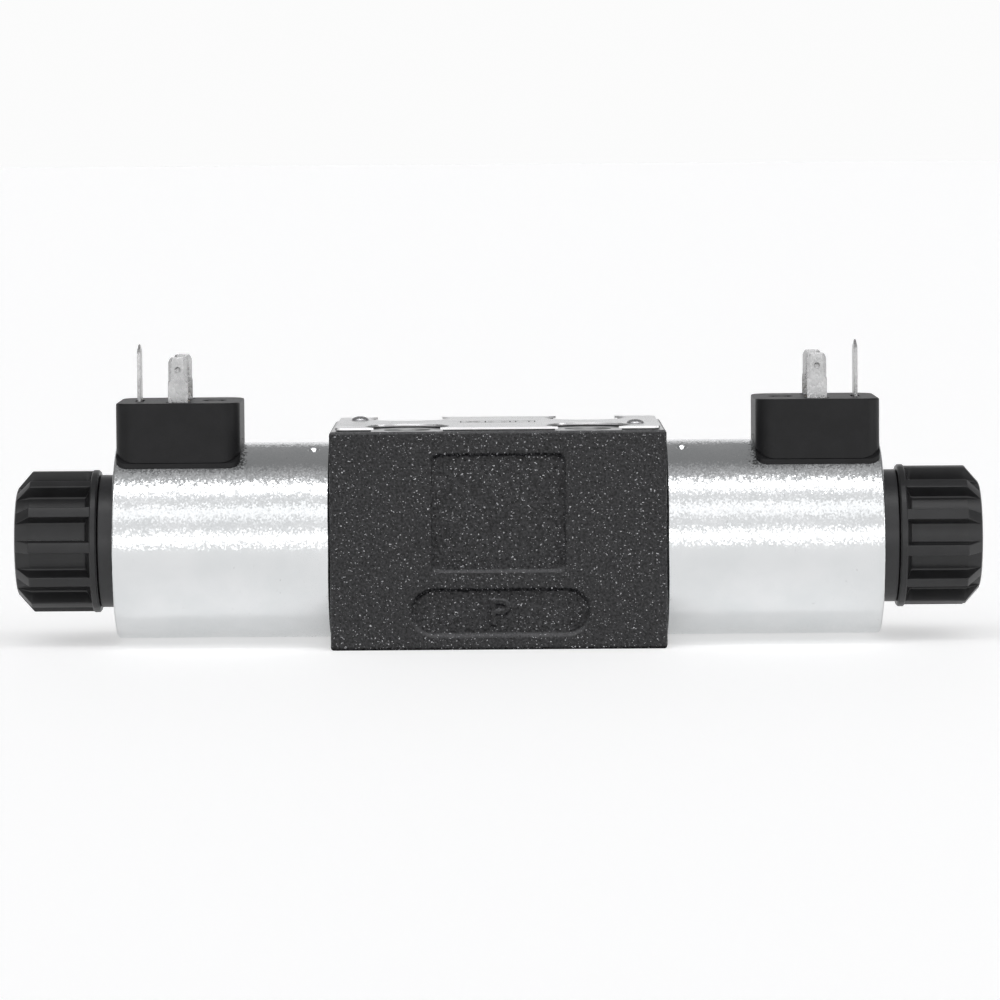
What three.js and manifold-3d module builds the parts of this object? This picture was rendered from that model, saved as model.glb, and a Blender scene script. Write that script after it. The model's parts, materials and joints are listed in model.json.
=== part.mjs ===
// Size 6 directional spool valve with two wet-armature solenoids (ISO 4401-03 mounting pattern).
// Millimetres, +Z up. The origin is the middle of the face that rests on the subplate, +X points
// from the middle of the valve to solenoid a, and the port P side of the body faces -Y.
import * as THREE from "three";
import { mergeVertices } from "three/addons/utils/BufferGeometryUtils.js";
import Module from "manifold-3d";

const wasm = await Module();
wasm.setup();

// Driving dimensions.
const AXIS_Z = 23.3; // height of the spool, solenoid and nut axis
const BODY = { length: 75.4, width: 46, height: 49, cornerRadius: 1.5 };
const COIL = { inner: 37.9, outer: 86.5, radius: 22.2, wall: 3, endPlate: 3.2, chamfer: 0.3 };
const CONNECTOR = { centre: 72, side: 28, top: 55.2, cornerRadius: 4.5 };
const NUT = {
  inner: 90.4,
  collarEnd: 92,
  ribEnd: 105.7,
  outer: 109.2,
  collarRadius: 16.2,
  endRadius: 12,
};
const RIB = { count: 12, radius: 16, floorRadius: 12.95, floorHalf: 2.15, topHalf: 2.97, slope: 1.1 };
const TUBE = { radius: 11, bore: 9, threadRadius: 9.6, inner: 27, end: 104.5 };
const RIB_TURN = { a: 8.4, b: -1.2 }; // degrees from the top at which each nut's first rib stands
const SPOOL = { radius: 6.9, half: 25.5 };
const BORE = { radius: 7, end: 26.5, chamberRadius: 10, pocketRadius: 12 };
const TIGHT = 0.1; // gap between pieces that fit into each other
const LOOSE = 0.3; // gap between pieces that turn on or rest against each other

// Facets of a full turn.
const SHOWN = 32;
const HIDDEN = 16;
const RIBBED = 48;
const SMALL = 12;

// The ISO 4401-03 pattern, seen from above: screw holes and ports as [x, y].
const SCREW_HOLES = [
  [-20.25, -16.25],
  [-20.25, 16.25],
  [20.25, -15.5],
  [20.25, 15.5],
];
const SCREW = { holeRadius: 2.75, wellRadius: 5.25, seatZ: 38, notchRadius: 9.4 };
const PORTS = { p: [-1.25, -10.4], t: [-1.25, 10.4], a: [7.55, 0], b: [-9.95, 0] };
const PORT = { mouthRadius: 3.75, mouthDepth: 8, drillRadius: 3, sealRadius: 6.25, sealDepth: 1.4 };
// Chambers of the spool bore, half width 2.5: P in the middle, A and B beside it, T outside.
const CHAMBER = { half: 2.5, work: 9, tank: 18 };
const TANK_LINK = { x: 17.5, y: 9.8, z: 9, radius: 2.3 };

// Shallow pads sunk into the front face: a plain square one, and a long one around the port letter.
const PAD_DEPTH = 0.8;
const BLANK_PAD = { lowX: -14.8, highX: 14.9, lowZ: 17.6, highZ: 43.6, cornerRadius: 1.5 };
const LETTER_PAD = { centreX: 0.35, centreZ: 8.35, length: 39.9, height: 10.1 };
const LETTER = { height: 5.9, width: 4.3, stroke: 1.2, relief: 0.5 };

const NAMEPLATE = { length: 72.6, width: 44, thickness: 0.8, cornerRadius: 1.5 };
const RIVETS = { left: [-31.5, 10], right: [31, -10] };
const RIVET = { headRadius: 2, headHeight: 0.9, shankRadius: 1.2, depth: 5 };

const MATERIALS = {
  castBlack: new THREE.MeshStandardMaterial({ color: 0x1b1b1d, roughness: 0.62, metalness: 0.2 }),
  zinc: new THREE.MeshStandardMaterial({ color: 0xa9abad, roughness: 0.45, metalness: 0.9 }),
  steel: new THREE.MeshStandardMaterial({ color: 0x9a9c9f, roughness: 0.3, metalness: 1 }),
  spring: new THREE.MeshStandardMaterial({ color: 0x7c7e82, roughness: 0.35, metalness: 1 }),
  nylon: new THREE.MeshStandardMaterial({ color: 0x141415, roughness: 0.5, metalness: 0 }),
  nutPlastic: new THREE.MeshStandardMaterial({ color: 0x101011, roughness: 0.4, metalness: 0 }),
  bobbin: new THREE.MeshStandardMaterial({ color: 0x2a2a2c, roughness: 0.6, metalness: 0 }),
  copper: new THREE.MeshStandardMaterial({ color: 0xb4683a, roughness: 0.4, metalness: 1 }),
  brass: new THREE.MeshStandardMaterial({ color: 0xc9a55a, roughness: 0.35, metalness: 1 }),
  tinned: new THREE.MeshStandardMaterial({ color: 0xc4c5c6, roughness: 0.3, metalness: 1 }),
  rubber: new THREE.MeshStandardMaterial({ color: 0x0e0e0f, roughness: 0.75, metalness: 0 }),
  plate: new THREE.MeshStandardMaterial({ color: 0xb9bbbd, roughness: 0.4, metalness: 0.9 }),
};

// A closed three.js geometry as a solid that can be joined and cut.
function solid(geometry) {
  const bare = new THREE.BufferGeometry();
  bare.setAttribute("position", geometry.getAttribute("position"));
  bare.setIndex(geometry.index);
  const merged = mergeVertices(bare, 1e-4);
  const index = merged.index.array;
  const kept = [];
  for (let i = 0; i < index.length; i += 3) {
    const [a, b, c] = [index[i], index[i + 1], index[i + 2]];
    if (a !== b && b !== c && c !== a) kept.push(a, b, c);
  }
  return new wasm.Manifold(
    new wasm.Mesh({
      numProp: 3,
      vertProperties: new Float32Array(merged.getAttribute("position").array),
      triVerts: new Uint32Array(kept),
    }),
  );
}

function cutBy(whole, cutters) {
  return cutters.reduce((left, cutter) => left.subtract(cutter), whole);
}

// One named mesh of the assembly.
function piece(name, made, material) {
  const { vertProperties, triVerts } = made.getMesh();
  const geometry = new THREE.BufferGeometry();
  geometry.setAttribute("position", new THREE.BufferAttribute(vertProperties.slice(), 3));
  geometry.setIndex(new THREE.BufferAttribute(triVerts.slice(), 1));
  geometry.computeVertexNormals();
  const mesh = new THREE.Mesh(geometry, material);
  mesh.name = name;
  return mesh;
}

// A lathe about the Y axis. A profile runs from the low end outwards to the high end and back.
function lathe(profile, sides) {
  const points = profile.map(([along, radius]) => new THREE.Vector2(radius, along));
  if (points[0].x > 0) points.push(points[0].clone());
  return new THREE.LatheGeometry(points, sides);
}

// A turned piece about the X axis, at height z. The profile lists [x, radius].
function turned(profile, sides, z = 0) {
  return solid(lathe(profile, sides).rotateZ(-Math.PI / 2).translate(0, 0, z));
}

// A turned piece about the vertical through (x, y). The profile lists [z, radius].
function upright(profile, sides, x = 0, y = 0) {
  return solid(lathe(profile, sides).rotateX(Math.PI / 2).translate(x, y, 0));
}

function rod(low, high, radius, sides, z = 0) {
  const profile = [[low, 0], [low, radius], [high, radius], [high, 0]];
  return turned(profile, sides, z);
}

function ring({ low, high, innerRadius, outerRadius }, sides) {
  const profile = [[low, innerRadius], [low, outerRadius], [high, outerRadius], [high, innerRadius]];
  return turned(profile, sides);
}

function drilled(low, high, radius, sides, x, y) {
  return upright([[low, 0], [low, radius], [high, radius], [high, 0]], sides, x, y);
}

// A box between two corners.
function block(low, high) {
  const size = high.map((value, i) => value - low[i]);
  const middle = high.map((value, i) => (value + low[i]) / 2);
  return solid(new THREE.BoxGeometry(...size).translate(...middle));
}

function roundedRectangle(width, height, radius) {
  const shape = new THREE.Shape();
  const x = width / 2 - radius;
  const y = height / 2 - radius;
  const quarter = Math.PI / 2;
  shape.absarc(x, y, radius, 0, quarter);
  shape.absarc(-x, y, radius, quarter, 2 * quarter);
  shape.absarc(-x, -y, radius, 2 * quarter, 3 * quarter);
  shape.absarc(x, -y, radius, 3 * quarter, 4 * quarter);
  return shape;
}

// A flat outline raised from z = low to z = high.
function raised(shape, low, high, curveSegments) {
  const options = { depth: high - low, bevelEnabled: false, curveSegments };
  return new THREE.ExtrudeGeometry(shape, options).translate(0, 0, low);
}

// The same outline standing on the body's front face, reaching from y = low to y = high.
function onFront(shape, low, high, x, z, curveSegments = 4) {
  const geometry = raised(shape, -high, -low, curveSegments);
  return solid(geometry.rotateX(Math.PI / 2).translate(x, 0, z));
}

// The capital P of the pressure port: a stem and a bowl.
function letterShape() {
  const { height, width, stroke } = LETTER;
  const bowl = height * 0.29;
  const bowlX = width / 2 - bowl;
  const bowlY = height / 2 - bowl;
  const shape = new THREE.Shape();
  shape.moveTo(-width / 2, -height / 2);
  shape.lineTo(-width / 2 + stroke, -height / 2);
  shape.lineTo(-width / 2 + stroke, bowlY - bowl);
  shape.absarc(bowlX, bowlY, bowl, -Math.PI / 2, Math.PI / 2);
  shape.lineTo(-width / 2, height / 2);
  const eye = new THREE.Path();
  eye.moveTo(-width / 2 + stroke, bowlY - bowl + stroke);
  eye.lineTo(-width / 2 + stroke, bowlY + bowl - stroke);
  eye.absarc(bowlX, bowlY, bowl - stroke, Math.PI / 2, -Math.PI / 2, true);
  shape.holes.push(eye);
  return shape;
}

function frontPads() {
  const front = -BODY.width / 2;
  const { lowX, highX, lowZ, highZ, cornerRadius } = BLANK_PAD;
  const blank = roundedRectangle(highX - lowX, highZ - lowZ, cornerRadius);
  const stadium = roundedRectangle(LETTER_PAD.length, LETTER_PAD.height, LETTER_PAD.height / 2);
  return [
    onFront(blank, front - 1, front + PAD_DEPTH, (lowX + highX) / 2, (lowZ + highZ) / 2),
    onFront(stadium, front - 1, front + PAD_DEPTH, LETTER_PAD.centreX, LETTER_PAD.centreZ, 6),
  ];
}

// Spool bore, its chambers and the threaded pockets that hold the armature tubes.
function spoolBore() {
  const face = BODY.length / 2;
  const groove = (x) =>
    rod(x - CHAMBER.half, x + CHAMBER.half, BORE.chamberRadius, HIDDEN, AXIS_Z);
  return [
    rod(-BORE.end - 1, BORE.end + 1, BORE.radius, HIDDEN, AXIS_Z),
    ...[0, -CHAMBER.work, CHAMBER.work, -CHAMBER.tank, CHAMBER.tank].map(groove),
    rod(BORE.end, face + 1, BORE.pocketRadius, HIDDEN, AXIS_Z),
    rod(-face - 1, -BORE.end, BORE.pocketRadius, HIDDEN, AXIS_Z),
  ];
}

// Port mouths with their seal seats, and the drilled ways up to the chambers.
function portWays() {
  const tops = {
    p: AXIS_Z,
    t: TANK_LINK.z,
    a: AXIS_Z - BORE.radius - 1.5,
    b: AXIS_Z - BORE.radius - 1.5,
  };
  const ways = Object.entries(PORTS).map(([port, [x, y]]) =>
    upright(
      [
        [-1, 0],
        [-1, PORT.sealRadius],
        [PORT.sealDepth, PORT.sealRadius],
        [PORT.sealDepth, PORT.mouthRadius],
        [PORT.mouthDepth, PORT.mouthRadius],
        [PORT.mouthDepth, PORT.drillRadius],
        [tops[port], PORT.drillRadius],
        [tops[port], 0],
      ],
      HIDDEN,
      x,
      y,
    ),
  );
  const gallery = lathe(
    [
      [-TANK_LINK.x - 1, 0],
      [-TANK_LINK.x - 1, TANK_LINK.radius],
      [TANK_LINK.x + 1, TANK_LINK.radius],
      [TANK_LINK.x + 1, 0],
    ],
    SMALL,
  );
  gallery.rotateZ(-Math.PI / 2).translate(0, TANK_LINK.y, TANK_LINK.z);
  const links = [-TANK_LINK.x, TANK_LINK.x].map((x) =>
    drilled(TANK_LINK.z, AXIS_Z, TANK_LINK.radius, SMALL, x, TANK_LINK.y),
  );
  return [...ways, solid(gallery), ...links];
}

function screwHoles() {
  return SCREW_HOLES.map(([x, y]) =>
    upright(
      [
        [-1, 0],
        [-1, SCREW.holeRadius],
        [SCREW.seatZ, SCREW.holeRadius],
        [SCREW.seatZ, SCREW.wellRadius],
        [BODY.height + 1, SCREW.wellRadius],
        [BODY.height + 1, 0],
      ],
      HIDDEN,
      x,
      y,
    ),
  );
}

function valveBody() {
  const outline = roundedRectangle(BODY.length, BODY.width, BODY.cornerRadius);
  const cast = solid(raised(outline, 0, BODY.height, 3));
  const rivetHoles = Object.values(RIVETS).map(([x, y]) =>
    drilled(BODY.height - RIVET.depth - LOOSE, BODY.height + 1, RIVET.shankRadius + TIGHT, SMALL, x, y),
  );
  const cutters = [...frontPads(), ...spoolBore(), ...portWays(), ...screwHoles(), ...rivetHoles];
  const padFloor = -BODY.width / 2 + PAD_DEPTH;
  const letter = onFront(
    letterShape(),
    padFloor - LETTER.relief,
    padFloor + 1,
    LETTER_PAD.centreX,
    LETTER_PAD.centreZ,
  );
  return cutBy(cast, cutters).add(letter);
}

// Lands over the A and B chambers and at both ends, waists between them.
function spool() {
  const waist = 3.6;
  const landIn = CHAMBER.work - CHAMBER.half - 1;
  const landOut = CHAMBER.work + CHAMBER.half + 1;
  const endLand = CHAMBER.tank + CHAMBER.half - 1;
  const right = [
    [landIn, waist],
    [landIn, SPOOL.radius],
    [landOut, SPOOL.radius],
    [landOut, waist],
    [endLand, waist],
    [endLand, SPOOL.radius],
    [SPOOL.half, SPOOL.radius],
    [SPOOL.half, 0],
  ];
  const left = right.map(([x, radius]) => [-x, radius]).reverse();
  return turned([...left, ...right], HIDDEN);
}

function nameplate() {
  const low = BODY.height + 0.05;
  const outline = roundedRectangle(NAMEPLATE.length, NAMEPLATE.width, NAMEPLATE.cornerRadius);
  const sheet = solid(raised(outline, low, low + NAMEPLATE.thickness, 3));
  const notches = SCREW_HOLES.map(([x, y]) =>
    drilled(low - 1, low + 2, SCREW.notchRadius, HIDDEN, x, y),
  );
  const holes = Object.values(RIVETS).map(([x, y]) =>
    drilled(low - 1, low + 2, RIVET.shankRadius + TIGHT, SMALL, x, y),
  );
  return cutBy(sheet, [...notches, ...holes]);
}

function rivet([x, y]) {
  const seat = BODY.height + 0.05 + NAMEPLATE.thickness + 0.05;
  const { headRadius, headHeight, shankRadius, depth } = RIVET;
  const profile = [
    [BODY.height - depth, 0],
    [BODY.height - depth, shankRadius],
    [seat, shankRadius],
    [seat, headRadius],
    [seat + headHeight * 0.6, headRadius * 0.8],
    [seat + headHeight, 0],
  ];
  return upright(profile, SMALL, x, y);
}

function portSeal([x, y]) {
  const outer = PORT.sealRadius - 0.15;
  const inner = PORT.mouthRadius + 0.65;
  const top = PORT.sealDepth - TIGHT;
  const edge = 0.3;
  const profile = [
    [0.02, inner + edge],
    [0.02, outer - edge],
    [edge, outer],
    [top - edge, outer],
    [top, outer - edge],
    [top, inner + edge],
    [top - edge, inner],
    [edge, inner],
  ];
  return upright(profile, HIDDEN, x, y);
}

// Pole piece, armature tube and end plug, brazed into one pressure-tight piece.
const POLE = { threadRadius: 11.7, threadEnd: 37.4, springSeat: 37, springRadius: 7, face: 54 };
const SEAL_GROOVE = { low: 34.5, high: 36.7, floor: 10.3 };
const PLUG = { face: 88, collarEnd: 94.1, collarRadius: 4.7, pinRadius: 3.05 };
const PIN_GROOVE = { low: 97, high: 98.9, radius: 4.5 };
const TUBE_SEAL = { low: 34.7, high: 36.5, innerRadius: 10.5, outerRadius: 11.7 };
const PIN_SEAL = { low: 97.2, high: 98.7, innerRadius: 3.15, outerRadius: 4.35 };
const PUSH_PIN_RADIUS = 2;

function tube() {
  const chamfer = 0.4;
  return turned(
    [
      [TUBE.inner, POLE.springRadius],
      [TUBE.inner, POLE.threadRadius - chamfer],
      [TUBE.inner + chamfer, POLE.threadRadius],
      [SEAL_GROOVE.low, POLE.threadRadius],
      [SEAL_GROOVE.low, SEAL_GROOVE.floor],
      [SEAL_GROOVE.high, SEAL_GROOVE.floor],
      [SEAL_GROOVE.high, POLE.threadRadius],
      [POLE.threadEnd, POLE.threadRadius],
      [POLE.threadEnd, TUBE.radius],
      [PLUG.face, TUBE.radius],
      [PLUG.face, TUBE.threadRadius],
      [TUBE.end - chamfer, TUBE.threadRadius],
      [TUBE.end, TUBE.threadRadius - chamfer],
      [TUBE.end, PLUG.pinRadius],
      [PIN_GROOVE.high, PLUG.pinRadius],
      [PIN_GROOVE.high, PIN_GROOVE.radius],
      [PIN_GROOVE.low, PIN_GROOVE.radius],
      [PIN_GROOVE.low, PLUG.pinRadius],
      [PLUG.collarEnd, PLUG.pinRadius],
      [PLUG.collarEnd, PLUG.collarRadius],
      [PLUG.face, PLUG.collarRadius],
      [PLUG.face, TUBE.bore],
      [POLE.face, TUBE.bore],
      [POLE.face, PUSH_PIN_RADIUS + LOOSE],
      [POLE.springSeat, PUSH_PIN_RADIUS + LOOSE],
      [POLE.springSeat, POLE.springRadius],
    ],
    HIDDEN,
  );
}

// The armature keeps the spool's stroke free at both ends of its chamber.
const ARMATURE = { low: 57.2, high: 84.7, radius: 8.9, pinDepth: 8 };
const OIL_WAY = { floor: 6.4, half: 1.2 };

function armature() {
  const { low, high, radius, pinDepth } = ARMATURE;
  const socketRadius = PUSH_PIN_RADIUS + TIGHT;
  const profile = [
    [low, socketRadius],
    [low, radius],
    [high, radius],
    [high, 0],
    [low + pinDepth, 0],
    [low + pinDepth, socketRadius],
  ];
  const core = turned([...profile, profile[0]], HIDDEN);
  const { floor, half } = OIL_WAY;
  const oilWays = [
    block([low - 1, floor, -half], [high + 1, radius + 1, half]),
    block([low - 1, -radius - 1, -half], [high + 1, -floor, half]),
  ];
  return cutBy(core, oilWays);
}

function pushPin() {
  const high = ARMATURE.low + ARMATURE.pinDepth - LOOSE;
  return rod(SPOOL.half + 0.2, high, PUSH_PIN_RADIUS, HIDDEN);
}

const WASHER = {
  low: SPOOL.half + TIGHT,
  high: 27,
  innerRadius: PUSH_PIN_RADIUS + LOOSE,
  outerRadius: 6.6,
};

// Centre line of the spool's centring spring.
class Helix extends THREE.Curve {
  constructor(low, high, radius, turns) {
    super();
    Object.assign(this, { low, high, radius, turns });
  }

  getPoint(t, target = new THREE.Vector3()) {
    const angle = 2 * Math.PI * this.turns * t;
    const x = this.low + (this.high - this.low) * t;
    return target.set(x, this.radius * Math.cos(angle), this.radius * Math.sin(angle));
  }
}

function centringSpring() {
  const wire = 0.7;
  const turns = 4;
  const stepsPerTurn = 8;
  const path = new Helix(WASHER.high + wire + TIGHT, POLE.springSeat - wire - TIGHT, 5.5, turns);
  const section = new THREE.Shape().absarc(0, 0, wire, 0, 2 * Math.PI);
  const options = { steps: turns * stepsPerTurn, extrudePath: path, curveSegments: 3 };
  return solid(new THREE.ExtrudeGeometry(section, { ...options, bevelEnabled: false }));
}

const OVERRIDE = { collarLow: 90.8, collarEnd: 93.8, end: 107.9, radius: 3, collarRadius: 4.4 };

function overridePin() {
  const { collarLow, collarEnd, end, radius, collarRadius } = OVERRIDE;
  const chamfer = 0.4;
  const profile = [
    [collarLow, 0],
    [collarLow, collarRadius],
    [collarEnd, collarRadius],
    [collarEnd, radius],
    [end - chamfer, radius],
    [end, radius - chamfer],
    [end, 0],
  ];
  return turned(profile, HIDDEN);
}

function coilHousing() {
  const { inner, outer, radius, wall, endPlate, chamfer } = COIL;
  const can = turned(
    [
      [inner, radius - wall],
      [inner, radius - chamfer],
      [inner + chamfer, radius],
      [outer - chamfer, radius],
      [outer, radius - chamfer],
      [outer, TUBE.radius + LOOSE],
      [outer - endPlate, TUBE.radius + LOOSE],
      [outer - endPlate, radius - wall],
    ],
    SHOWN,
  );
  const half = STEM.half + LOOSE;
  const window = block(
    [CONNECTOR.centre - half, -half, radius - wall - 1],
    [CONNECTOR.centre + half, half, radius + 1],
  );
  return can.subtract(window);
}

const END_PLATE = { low: 38.2, high: 41.2, sealEnd: 40.2, sealRadius: 13.2 };
const COIL_SEAL = { low: 38.3, high: 39.9, innerRadius: 11.4, outerRadius: 12.9 };

function coilEndPlate() {
  const { low, high, sealEnd, sealRadius } = END_PLATE;
  const bore = TUBE.radius + LOOSE;
  const rim = COIL.radius - COIL.wall - LOOSE;
  const profile = [[low, sealRadius], [low, rim], [high, rim], [high, bore]];
  return turned([...profile, [sealEnd, bore], [sealEnd, sealRadius]], HIDDEN);
}

const BOBBIN = { low: 41.5, high: 83, flange: 1.5, wall: 1, rim: 18.6 };

function coilBobbin() {
  const { low, high, flange, wall, rim } = BOBBIN;
  const bore = TUBE.radius + LOOSE;
  const profile = [
    [low, bore],
    [low, rim],
    [low + flange, rim],
    [low + flange, bore + wall],
    [high - flange, bore + wall],
    [high - flange, rim],
    [high, rim],
    [high, bore],
  ];
  return turned(profile, HIDDEN);
}

const WINDING = {
  low: BOBBIN.low + BOBBIN.flange + LOOSE,
  high: BOBBIN.high - BOBBIN.flange - LOOSE,
  innerRadius: TUBE.radius + BOBBIN.wall + 2 * LOOSE,
  outerRadius: BOBBIN.rim - 0.6,
};

// Connector base, in the solenoid's own frame: z is measured from the solenoid axis.
const STEM = { half: 4, bottom: COIL.radius - COIL.wall - 0.1 };
const BLADE = {
  pin: { width: 4.5, thickness: 0.8, top: 65.4, tip: 1.2 },
  earth: { width: 6.3, thickness: 0.8, top: 68, tip: 2.2 },
  root: 50.5,
  pinOffset: 9,
  earthOffset: 9.2,
};
const INSERT = { radius: 2.3, bore: 1.25, depth: 6 };

// A blade's wide face is normal to Y for the pins and normal to X for the earth.
function bladePocket(x, y, alongX, alongY) {
  const half = [alongX / 2 + TIGHT, alongY / 2 + TIGHT];
  const top = CONNECTOR.top - AXIS_Z + 1;
  const bottom = BLADE.root - AXIS_Z - TIGHT;
  return block([x - half[0], y - half[1], bottom], [x + half[0], y + half[1], top]);
}

function connectorBase() {
  const { centre, side, top, cornerRadius } = CONNECTOR;
  const high = top - AXIS_Z;
  const outline = roundedRectangle(side, side, cornerRadius);
  const column = solid(raised(outline, 0, high, 3).translate(centre, 0, 0));
  const saddle = rod(centre - side, centre + side, COIL.radius + LOOSE, SHOWN);
  const stem = block(
    [centre - STEM.half, -STEM.half, STEM.bottom],
    [centre + STEM.half, STEM.half, COIL.radius + 2],
  );
  const { pin, earth, pinOffset, earthOffset } = BLADE;
  const pockets = [
    bladePocket(centre, -pinOffset, pin.width, pin.thickness),
    bladePocket(centre, pinOffset, pin.width, pin.thickness),
    bladePocket(centre + earthOffset, 0, earth.thickness, earth.width),
    drilled(high - INSERT.depth - LOOSE, high + 1, INSERT.radius + TIGHT, SMALL, centre, 0),
  ];
  return cutBy(column.subtract(saddle).add(stem), pockets);
}

// A flat contact blade with a bevelled tip, standing at (x, y).
function blade({ width, thickness, top, tip }, x, y, turn) {
  const low = BLADE.root - AXIS_Z;
  const high = top - AXIS_Z;
  const shape = new THREE.Shape();
  shape.moveTo(-width / 2, low);
  shape.lineTo(width / 2, low);
  shape.lineTo(width / 2, high - tip);
  shape.lineTo(width / 2 - tip, high);
  shape.lineTo(-width / 2 + tip, high);
  shape.lineTo(-width / 2, high - tip);
  const sheet = raised(shape, -thickness / 2, thickness / 2, 1);
  return solid(sheet.rotateX(Math.PI / 2).rotateZ(turn).translate(x, y, 0));
}

function threadedInsert() {
  const top = CONNECTOR.top - AXIS_Z;
  const { radius, bore, depth } = INSERT;
  const profile = [[top - depth, bore], [top - depth, radius], [top, radius], [top, bore]];
  return upright(profile, SMALL, CONNECTOR.centre, 0);
}

const NUT_SEAL = {
  low: COIL.outer + TIGHT,
  high: NUT.inner - TIGHT,
  innerRadius: TUBE.radius + LOOSE,
  outerRadius: 15.05,
};

// The space between two ribs: a trapezium that widens outwards, sloped where it meets the collar.
function fluteCutter(angle) {
  const { radius, floorRadius, floorHalf, topHalf, slope } = RIB;
  const cutter = new THREE.BoxGeometry(1, 1, 1);
  const corners = cutter.getAttribute("position");
  const rise = 1.2;
  const spread = (topHalf - floorHalf) / (radius - floorRadius);
  for (let i = 0; i < corners.count; i += 1) {
    const outside = corners.getZ(i) > 0;
    const half = outside ? topHalf + spread * rise : floorHalf;
    const start = outside ? NUT.collarEnd - (slope * rise) / (radius - floorRadius) : NUT.collarEnd + slope;
    const x = corners.getX(i) > 0 ? NUT.outer + 1 : start;
    const z = outside ? radius + rise : floorRadius;
    corners.setXYZ(i, x, Math.sign(corners.getY(i)) * half, z);
  }
  return solid(cutter.rotateX(angle));
}

function coilNut(ribTurn) {
  const { inner, collarEnd, ribEnd, outer, collarRadius, endRadius } = NUT;
  const chamfer = 0.4;
  const bore = TUBE.threadRadius + LOOSE;
  const endWall = TUBE.end + 0.7;
  const hole = OVERRIDE.radius + 2 * LOOSE;
  const blank = turned(
    [
      [inner, bore],
      [inner, collarRadius - chamfer],
      [inner + chamfer, collarRadius],
      [collarEnd - 0.2, collarRadius],
      [collarEnd, RIB.radius],
      [ribEnd, RIB.radius],
      [outer, endRadius],
      [outer, hole],
      [endWall, hole],
      [endWall, bore],
    ],
    RIBBED,
  );
  const pitch = (2 * Math.PI) / RIB.count;
  const angles = Array.from({ length: RIB.count }, (_, i) => (i + 0.5) * pitch + ribTurn);
  return cutBy(blank, angles.map(fluteCutter));
}

// Everything that belongs to one solenoid, built along +X on its own axis.
function solenoid(side) {
  const { steel, zinc, rubber, tinned } = MATERIALS;
  const named = (name) => name + "_" + side;
  const { pin, earth, pinOffset, earthOffset } = BLADE;
  const { centre } = CONNECTOR;
  const group = new THREE.Group();
  group.add(
    piece(named("armature_tube"), tube(), steel),
    piece(named("tube_seal"), ring(TUBE_SEAL, HIDDEN), rubber),
    piece(named("armature"), armature(), steel),
    piece(named("push_pin"), pushPin(), steel),
    piece(named("spring_washer"), ring(WASHER, HIDDEN), steel),
    piece(named("centring_spring"), centringSpring(), MATERIALS.spring),
    piece(named("override_pin"), overridePin(), steel),
    piece(named("override_seal"), ring(PIN_SEAL, HIDDEN), rubber),
    piece(named("coil_housing"), coilHousing(), zinc),
    piece(named("coil_end_plate"), coilEndPlate(), zinc),
    piece(named("coil_bobbin"), coilBobbin(), MATERIALS.bobbin),
    piece(named("coil_winding"), ring(WINDING, HIDDEN), MATERIALS.copper),
    piece(named("coil_seal"), ring(COIL_SEAL, HIDDEN), rubber),
    piece(named("connector_base"), connectorBase(), MATERIALS.nylon),
    piece(named("terminal_1"), blade(pin, centre, -pinOffset, 0), tinned),
    piece(named("terminal_2"), blade(pin, centre, pinOffset, 0), tinned),
    piece(named("earth_terminal"), blade(earth, centre + earthOffset, 0, Math.PI / 2), tinned),
    piece(named("connector_insert"), threadedInsert(), MATERIALS.brass),
    piece(named("nut_seal"), ring(NUT_SEAL, SHOWN), rubber),
    piece(named("coil_nut"), coilNut(THREE.MathUtils.degToRad(RIB_TURN[side])), MATERIALS.nutPlastic),
  );
  return group;
}

const valve = new THREE.Group();
valve.add(
  piece("valve_body", valveBody(), MATERIALS.castBlack),
  piece("nameplate", nameplate(), MATERIALS.plate),
  piece("nameplate_rivet_left", rivet(RIVETS.left), MATERIALS.plate),
  piece("nameplate_rivet_right", rivet(RIVETS.right), MATERIALS.plate),
);
for (const [port, place] of Object.entries(PORTS)) {
  valve.add(piece("port_seal_" + port, portSeal(place), MATERIALS.rubber));
}

const axis = new THREE.Group();
axis.position.z = AXIS_Z;
axis.add(piece("spool", spool(), MATERIALS.steel));

const solenoidB = solenoid("b");
solenoidB.rotation.z = Math.PI;
axis.add(solenoid("a"), solenoidB);
valve.add(axis);

export default valve;
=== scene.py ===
"""Looks of a size 6 solenoid directional valve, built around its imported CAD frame.

Pieces are modelled in millimetres and become metres when they are placed. A solenoid's pieces
are modelled in its own frame: +X outwards along the solenoid axis, z measured from that axis.
"""

import json
import math

import bmesh
import bpy
from mathutils import Matrix, Vector, noise


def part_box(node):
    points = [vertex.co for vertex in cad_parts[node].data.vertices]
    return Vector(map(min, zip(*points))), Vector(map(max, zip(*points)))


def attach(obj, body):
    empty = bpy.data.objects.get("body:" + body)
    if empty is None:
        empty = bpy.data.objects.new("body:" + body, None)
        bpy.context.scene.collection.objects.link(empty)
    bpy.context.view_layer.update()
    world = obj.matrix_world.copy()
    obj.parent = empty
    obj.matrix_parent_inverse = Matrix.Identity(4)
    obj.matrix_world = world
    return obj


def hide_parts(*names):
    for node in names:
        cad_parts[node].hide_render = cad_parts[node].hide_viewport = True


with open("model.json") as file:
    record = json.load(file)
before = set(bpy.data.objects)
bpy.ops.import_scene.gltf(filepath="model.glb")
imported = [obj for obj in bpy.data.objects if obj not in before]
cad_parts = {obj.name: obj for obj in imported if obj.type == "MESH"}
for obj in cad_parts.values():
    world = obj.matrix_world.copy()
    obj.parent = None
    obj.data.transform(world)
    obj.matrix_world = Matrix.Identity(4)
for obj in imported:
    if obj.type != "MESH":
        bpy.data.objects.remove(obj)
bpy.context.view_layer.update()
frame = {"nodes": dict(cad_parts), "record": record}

MM = 0.001
QUARTER = math.pi / 2


def corners_of(node):
    """Lowest and highest corners of a CAD node at rest, in millimetres."""
    low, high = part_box(node)
    return Vector(low) / MM, Vector(high) / MM


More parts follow.
